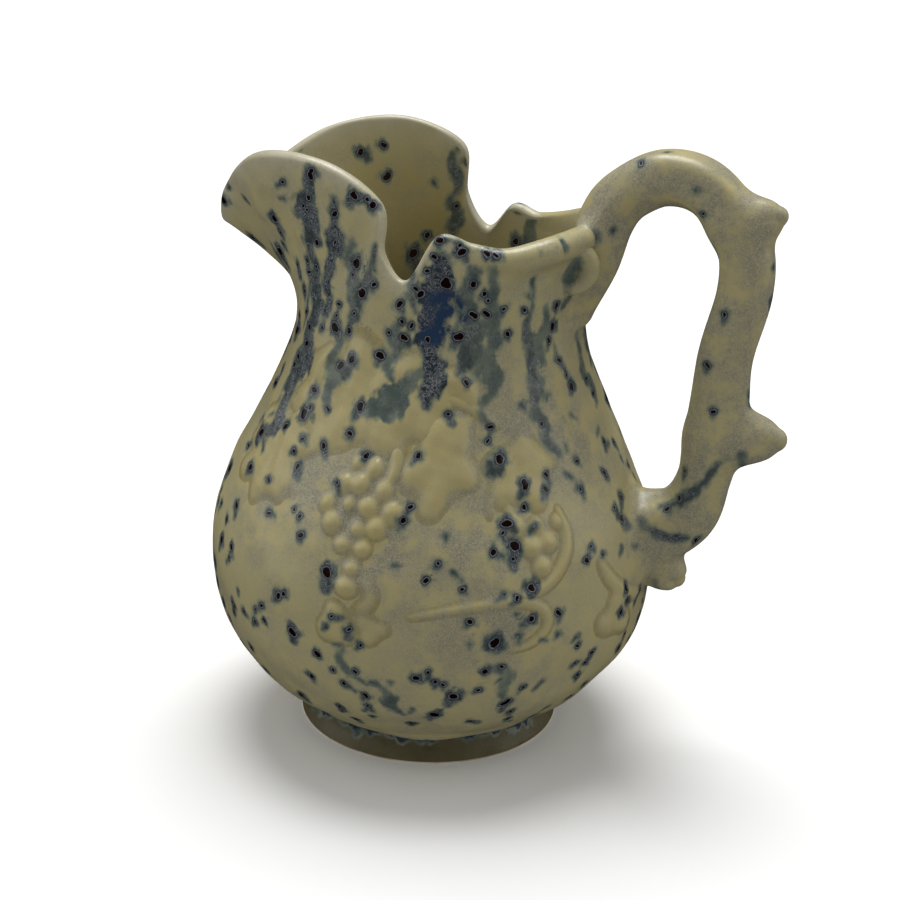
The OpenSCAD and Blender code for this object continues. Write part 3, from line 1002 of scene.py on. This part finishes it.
def mark_field(points, marks):
    """For each point: the way from the nearest mark, how deep inside it is, and the mark's values."""
    order = np.argsort(points[:, 2])
    p = points[order]
    z = p[:, 2]
    n = len(p)
    found = {
        "way": np.tile([FAR_AWAY, 0.0, 0.0], (n, 1)),
        "radius": np.zeros(n),
        "depth": np.full(n, -FAR_AWAY),
        "blue": np.zeros(n),
        "tag": np.zeros((n, 3)),
    }
    for a, b, ra, rb, blue, tag in marks:
        reach = max(ra, rb) + FIELD_REACH
        i, j = np.searchsorted(z, [min(a[2], b[2]) - reach, max(a[2], b[2]) + reach])
        if i == j:
            continue
        d = b - a
        s = np.clip((p[i:j] - a) @ d / max(d @ d, 1e-9), 0, 1)
        gap = p[i:j] - a - s[:, None] * d
        r = ra + s * (rb - ra)
        inside = r - length_of(gap)
        better = inside > found["depth"][i:j]
        k = np.nonzero(better)[0] + i
        values = (gap[better], r[better], inside[better], blue, tag)
        for key, value in zip(found, values):
            found[key][k] = value
    back = np.empty(n, int)
    back[order] = np.arange(n)
    return {key: values[back] for key, values in found.items()}


def store(piece, name, values):
    kind, key = ("FLOAT_VECTOR", "vector") if np.ndim(values) == 2 else ("FLOAT", "value")
    attribute = piece.data.attributes.new(name, kind, "POINT")
    attribute.data.foreach_set(key, np.ascontiguousarray(values, np.float32).ravel())


# -------- materials


class Nodes:
    """Short names for building a node tree."""

    def __init__(self, owner):
        owner.use_nodes = True
        self.tree = owner.node_tree
        self.tree.nodes.clear()

    def add(self, kind, inputs=None, **values):
        node = self.tree.nodes.new("ShaderNode" + kind)
        for key, value in values.items():
            setattr(node, key, value)
        for key, value in (inputs or {}).items():
            self.put(node.inputs[key], value)
        return node

    def put(self, socket, value):
        if isinstance(value, bpy.types.NodeSocket):
            self.tree.links.new(value, socket)
        else:
            socket.default_value = value

    def math(self, operation, a, b=0.0, clamp=False):
        return self.add("Math", {0: a, 1: b}, operation=operation, use_clamp=clamp).outputs[0]

    def times(self, a, b, clamp=False):
        return self.math("MULTIPLY", a, b, clamp)

    def plus(self, a, b, clamp=False):
        return self.math("ADD", a, b, clamp)

    def minus(self, a, b):
        return self.math("SUBTRACT", a, b)

    def vector(self, operation, a, b=(0, 0, 0), scale=1.0):
        node = self.add("VectorMath", {0: a, 1: b, 3: scale}, operation=operation)
        return node.outputs["Value" if operation == "LENGTH" else "Vector"]

    def span(self, value, low, high, to_low=0.0, to_high=1.0):
        return self.add("MapRange", {"Value": value, "From Min": low, "From Max": high, "To Min": to_low,
                                     "To Max": to_high}, interpolation_type="SMOOTHSTEP").outputs["Result"]

    def mix(self, factor, a, b):
        return self.add("Mix", {"Factor": factor, 6: a, 7: b}, data_type="RGBA").outputs[2]

    def noise(self, where, scale, detail=2.0, rough=0.5, output="Factor"):
        node = self.add("TexNoise", {"Vector": where, "Scale": scale, "Detail": detail, "Roughness": rough})
        return node.outputs[0 if output == "Factor" else 1]

    def place_mm(self):
        """Place on the object, in millimetres."""
        return self.vector("SCALE", self.add("TexCoord").outputs["Object"], scale=1 / MM)

    def attribute(self, name, output="Fac"):
        return self.add("Attribute", attribute_name=name).outputs[output]

    def bump(self, height, distance):
        """Bumps in the surface; the distance is in millimetres."""
        return self.add("Bump", {"Height": height, "Distance": distance * MM, "Strength": 0.6}).outputs[0]

    def shader(self, inputs):
        self.add("OutputMaterial", {"Surface": self.add("BsdfPrincipled", inputs).outputs[0]})


def new_material(name):
    material = bpy.data.materials.new(name)
    return material, Nodes(material)


def rgb(r, g, b):
    return (r, g, b, 1.0)


CREAM = rgb(0.5, 0.445, 0.228)
YELLOW = rgb(0.53, 0.45, 0.2)
OCHRE = rgb(0.42, 0.33, 0.12)
# Darker glaze inside the pitcher, partly painted shade there
OLIVE = rgb(0.39, 0.325, 0.125)
# Painted shade in the crease round the relief, partly glaze pooled there
CREASE_SHADE = rgb(0.33, 0.275, 0.11)
FROSTED = rgb(0.34, 0.315, 0.215)
PALE = rgb(0.58, 0.55, 0.42)
GRIT = rgb(0.17, 0.165, 0.15)
TEAL_PALE = rgb(0.23, 0.27, 0.2)
TEAL = rgb(0.105, 0.15, 0.13)
NAVY = rgb(0.014, 0.03, 0.052)
POOL = rgb(0.004, 0.04, 0.12)
CRYSTAL = rgb(0.27, 0.275, 0.295)
CORE = rgb(0.012, 0.002, 0.0015)


def glaze(name, cream=CREAM, warm=YELLOW, gloss=0.32, frosting=1.0, sparkle=0.85):
    material, n = new_material(name)
    where = n.place_mm()
    raised = n.attribute("raised")
    misty = n.attribute("misty")

    # Cream ground: broad clouds, warmer on what stands proud, frosted in the hollows
    cloud = n.noise(where, 0.04, 3, 0.55)
    patch = n.noise(where, 0.13, 4, 0.6)
    mottle = n.noise(where, 0.7, 3, 0.6)
    grain = n.noise(where, 2.4, 2, 0.65)
    warmth = n.plus(n.span(raised, 0.1, 1.1, 0, 0.6), n.span(patch, 0.5, 0.68, 0, 0.5), clamp=True)
    ground = n.mix(warmth, cream, warm)
    # Darker olive inside the pitcher: partly its inner glaze, partly painted shade
    ground = n.mix(n.times(n.attribute("inner"), 0.85), ground, OLIVE)
    # Painted shade in the crease round the relief, partly glaze pooled there
    crease_shade = n.times(n.attribute("crease_shading"), n.span(mottle, 0.3, 0.6, 0.45, 0.9))
    ground = n.mix(crease_shade, ground, CREASE_SHADE)
    # Ochre comes partly from the painted crease shade, partly from broad clouds
    ochre = n.plus(n.times(crease_shade, 0.6), n.span(cloud, 0.58, 0.72, 0, 0.3))
    ochre = n.times(ochre, n.span(mottle, 0.45, 0.68))
    ground = n.mix(n.times(ochre, 0.45, clamp=True), ground, OCHRE)
    frost = n.times(n.span(patch, 0.66, 0.4), n.plus(misty, n.span(cloud, 0.4, 0.62, 0.15, 0.6)))
    frost = n.times(frost, n.span(raised, 1.0, 0.2, 0.1 * frosting, frosting), clamp=True)
    ground = n.mix(n.times(frost, n.span(mottle, 0.3, 0.55, 0.5, 1)), ground, FROSTED)
    salt = n.times(n.span(grain, 0.53, 0.63), n.plus(n.times(frost, 0.5), 0.05 * frosting))
    ground = n.mix(salt, ground, PALE)
    # Pale band along the lip: partly pale glaze at the rim, partly painted highlight on the top-lit crest
    ground = n.mix(n.times(n.attribute("lip"), n.span(patch, 0.35, 0.6, 0.5, 0.9)), ground, PALE)
    pepper = n.times(n.span(grain, 0.44, 0.34), n.plus(n.times(frost, 0.5), 0.07))
    ground = n.mix(pepper, ground, GRIT)

    # Halos and runs
    ripple = n.vector("SUBTRACT", n.noise(where, 0.8, 1.5, 0.5, "Color"), (0.5, 0.5, 0.5))
    stretched = n.vector("MULTIPLY", where, (0.36, 0.36, 0.22))
    wobble = n.span(n.noise(stretched, 1.0, 1.5, 0.5), 0.28, 0.72, -1, 1)

    def depth_of(field, warp, swell):
        """How far inside a mark: exact where one mark rules, smoothed where two meet."""
        radius = n.attribute(field + "_radius")
        way = n.vector("ADD", n.attribute(field + "_way", "Vector"), n.vector("SCALE", ripple, scale=warp))
        meet = n.attribute(field + "_depth")
        exact = n.minus(radius, n.vector("LENGTH", way))
        exact = n.math("MAXIMUM", n.minus(meet, 0.8), n.math("MINIMUM", n.plus(meet, 0.8), exact))
        alone = n.math("GREATER_THAN", n.vector("LENGTH", n.attribute(field + "_tag", "Vector")), 0.985)
        depth = n.plus(meet, n.times(n.minus(exact, meet), alone))
        return n.plus(depth, n.times(n.times(wobble, radius), swell))

    inside = depth_of("halo", 0.8, 0.3)
    blue = n.attribute("halo_blue")
    wash = n.mix(n.span(patch, 0.35, 0.62), TEAL, TEAL_PALE)
    deep = n.times(n.span(inside, 0.1, 1.35), n.span(mottle, 0.28, 0.6, 0.75, 1.1))
    tint = n.mix(n.times(deep, blue, clamp=True), wash, NAVY)
    crystals = n.noise(where, 0.85, 2.5, 0.6)
    veins = n.span(n.math("ABSOLUTE", n.minus(crystals, 0.5)), 0.014, 0.045, 1.0, 0.0)
    foam = n.times(n.span(crystals, 0.54, 0.66), 0.4)
    region = n.plus(n.noise(where, 0.2, 2, 0.5), n.times(blue, 0.16))
    veins = n.times(n.math("MAXIMUM", veins, foam), n.span(region, 0.5, 0.64))
    veins = n.times(veins, n.times(n.span(inside, 0.3, 1.0), n.span(blue, 0.05, 0.6)))
    tint = n.mix(n.times(veins, sparkle), tint, CRYSTAL)
    lake = n.times(n.span(n.attribute("pool"), 0.35, 0.55), n.span(patch, 0.64, 0.5))
    tint = n.mix(n.times(lake, n.span(inside, 0.8, 1.6), clamp=True), tint, POOL)
    surface = n.mix(n.span(inside, -0.95, 0.75, 0, 0.96), ground, tint)

    # Cores: a thin broken pale ring round a maroon-black eye
    eye = depth_of("core", 0.55, 0.22)
    surface = n.mix(n.span(eye, -1.0, -0.3, 0, 0.75), surface, NAVY)
    pale = n.times(n.span(eye, -0.38, -0.24), n.span(eye, -0.04, -0.16))
    pale = n.times(pale, n.span(mottle, 0.35, 0.6, 0.4, 0.95))
    surface = n.mix(pale, surface, CRYSTAL)
    surface = n.mix(n.span(eye, -0.12, 0.03), surface, CORE)

    height = n.plus(n.times(grain, 0.14), n.times(mottle, 0.5))
    height = n.minus(height, n.span(inside, 0, 1.2, 0, 0.25))
    height = n.plus(height, n.span(eye, -0.3, 0.3, 0, 0.3))
    rough = n.span(mottle, 0.25, 0.75, gloss - 0.05, gloss + 0.1)
    rough = n.minus(rough, n.span(inside, 0.2, 1.2, 0, 0.04))
    n.shader({"Base Color": surface, "Roughness": rough, "Normal": n.bump(height, 0.16), "IOR": 1.5,
              "Specular IOR Level": 0.5})
    return material


def bare_clay():
    material, n = new_material("bare_clay")
    where = n.place_mm()
    grit = n.noise(where, 1.6, 4, 0.7)
    stain = n.noise(where, 0.08, 3, 0.6)
    colour = n.mix(n.span(stain, 0.35, 0.7), rgb(0.52, 0.44, 0.33), rgb(0.36, 0.29, 0.2))
    colour = n.mix(n.span(grit, 0.6, 0.75, 0, 0.5), colour, rgb(0.2, 0.16, 0.12))
    n.shader({"Base Color": colour, "Roughness": 0.85, "Normal": n.bump(grit, 0.15)})
    return material


# -------- studio


CAMERA_DISTANCE = 500
CAMERA_HEIGHT = 264.41
CAMERA_AZIMUTH = 18.08
CAMERA_PITCH = 19.45
CAMERA_ROLL = 1.315
FOCAL = 67.6
SHIFT_X = 0.0176
# Strength of the world's light, low and high
LOW_SKY, HIGH_SKY = 0.5, 0.43
# Soft lights: name, height and turn in degrees, strength, spread in degrees
LIGHTS = [
    ("top_light", 72, 110, 2.5, 38),
    ("left_light", 30, 200, 0.55, 60),
    ("right_light", 25, 15, 0.45, 60),
]
# Half the floor's side, in metres
FLOOR_REACH = 20


def add_camera():
    az, pitch, roll = (math.radians(d) for d in (CAMERA_AZIMUTH, CAMERA_PITCH, CAMERA_ROLL))
    data = bpy.data.cameras.new("camera")
    data.lens = FOCAL
    data.sensor_width = 36
    data.shift_x = SHIFT_X
    data.clip_start = 0.01
    data.clip_end = 50
    camera = linked("camera", data)
    place = (CAMERA_DISTANCE * math.sin(az), -CAMERA_DISTANCE * math.cos(az), CAMERA_HEIGHT)
    camera.location = Vector(place) * MM
    view = Vector((-math.cos(pitch) * math.sin(az), math.cos(pitch) * math.cos(az), -math.sin(pitch)))
    turn = view.to_track_quat("-Z", "Y").to_matrix().to_4x4()
    spin = Vector((0, 0, 1))
    camera.matrix_world = Matrix.Translation(camera.location) @ turn @ Matrix.Rotation(roll, 4, spin)
    bpy.context.scene.camera = camera


def add_studio():
    scene = bpy.context.scene
    scene.view_settings.view_transform = "Standard"
    world = bpy.data.worlds.new("studio")
    scene.world = world
    world.cycles_visibility.glossy = False
    n = Nodes(world)
    up = n.add("SeparateXYZ", {0: n.add("TexCoord").outputs["Generated"]}).outputs["Z"]
    ramp = n.add("MapRange", {"Value": up, "From Min": -0.1, "From Max": 1.0, "To Min": LOW_SKY,
                              "To Max": HIGH_SKY})
    sky = n.add("Background", {"Strength": ramp.outputs[0]})
    n.add("OutputWorld", {"Surface": sky.outputs[0]})
    for name, height, turn, strength, spread in LIGHTS:
        light = bpy.data.lights.new(name, "SUN")
        light.energy = strength
        light.angle = math.radians(spread)
        lamp = linked(name, light)
        up, round_z = math.radians(height), math.radians(turn)
        source = Vector((math.cos(up) * math.cos(round_z), math.cos(up) * math.sin(round_z), math.sin(up)))
        lamp.location = source
        lamp.rotation_euler = (-source).to_track_quat("-Z", "Y").to_euler()

    mesh = bpy.data.meshes.new("floor")
    corners = [(FLOOR_REACH * x, FLOOR_REACH * y, 0) for x, y in ((-1, -1), (1, -1), (1, 1), (-1, 1))]
    mesh.from_pydata(corners, [], [(0, 1, 2, 3)])
    floor = linked("floor", mesh)
    material, n = new_material("floor")
    n.shader({"Base Color": rgb(0.93, 0.93, 0.925), "Roughness": 0.9, "Specular IOR Level": 0.1})
    mesh.materials.append(material)
    floor.visible_diffuse = False
    floor.visible_glossy = False


# -------- the whole pitcher


# Frosted hollows and the deep blue pool, mirrored on the far side: [angle, height, radius]
FROST = [[-90, 85, 18], [-62, 85, 18], [-60, 62, 12], [-110, 90, 14], [-35, 105, 18], [-60, 110, 10]]
POOLS = [[-71, 142, 9]]
# Frosting all over the handle and its stubs
HANDLE_FROST = 0.7
# Height over which the painted shade in the crease round the relief fades; partly it stands for glaze pooled
# there
CREASE_SHADE_WIDTH = 0.28
# How much a swell of the clay counts as standing proud, where the glaze is warmer
SWELL_WARMTH = 0.8


def soft_spots(points, places):
    total = np.zeros(len(points))
    for side in (NEAR, FAR):
        for a, z, r in places:
            d = length_of(points - place(-side * a, z))
            total = np.maximum(total, np.exp(-(d / r)**2))
    return total


def main():
    add_camera()
    add_studio()
    body_glaze = glaze("glaze_body")
    relief_glaze = glaze("glaze_relief", gloss=0.3)
    # Dark glaze of the foot: partly its own thin dark glaze, partly painted shade under the belly
    foot_glaze_and_shade = glaze("glaze_foot", cream=rgb(0.105, 0.09, 0.034), warm=rgb(0.075, 0.066, 0.022), gloss=0.42,
                       frosting=0.1, sparkle=0.15)
    body, body_points, body_bare, inner, lip = build_body(body_glaze)
    foot = build_foot(foot_glaze_and_shade, bare_clay())
    faces = [tuple(f.vertices) for f in body.data.polygons]
    host = body_level_set(body_points, faces)
    handle = build_handle(host, body_glaze)
    painted = [(body, body_bare, SWELL_WARMTH * lumps(body_bare))]
    twigs = [build(side, host, relief_glaze) for side in (NEAR, FAR) for build in (build_twig, build_bud)]
    for piece in handle + twigs + [foot]:
        points = coordinates(piece.data) / MM
        painted.append((piece, points, 0.1 + SWELL_WARMTH * lumps(points)))
    crease_shades = {}
    for side in (NEAR, FAR):
        for piece, bare, raised in build_relief(side, relief_glaze):
            painted.append((piece, bare, raised))
            # Painted shade along the crease where the relief's edge meets the wall
            crease_shades[piece] = np.exp(-((raised - 0.1) / CREASE_SHADE_WIDTH)**2)
    marks, inside_marks = all_marks()
    for piece, points, raised in painted:
        for name in marks.made:
            fields = mark_field(points, marks.made[name])
            if piece == body:
                indoors = inner > 0
                for key, values in mark_field(points[indoors], inside_marks.made[name]).items():
                    fields[key][indoors] = values
            for key, values in fields.items():
                store(piece, name + "_" + key, values)
        none = np.zeros(len(points))
        looks = {
            "raised": raised,
            # Painted shade in the crease round the relief
            "crease_shading": crease_shades.get(piece, none),
            # Darker inner glaze, partly painted shade inside the pitcher
            "inner": inner if piece == body else none,
            # Pale lip, partly painted highlight on the crest
            "lip": lip if piece == body else none,
            "misty": soft_spots(points, FROST) + (HANDLE_FROST if piece in handle else 0),
            "pool": soft_spots(points, POOLS),
        }
        for name, values in looks.items():
            store(piece, name, values)


main()
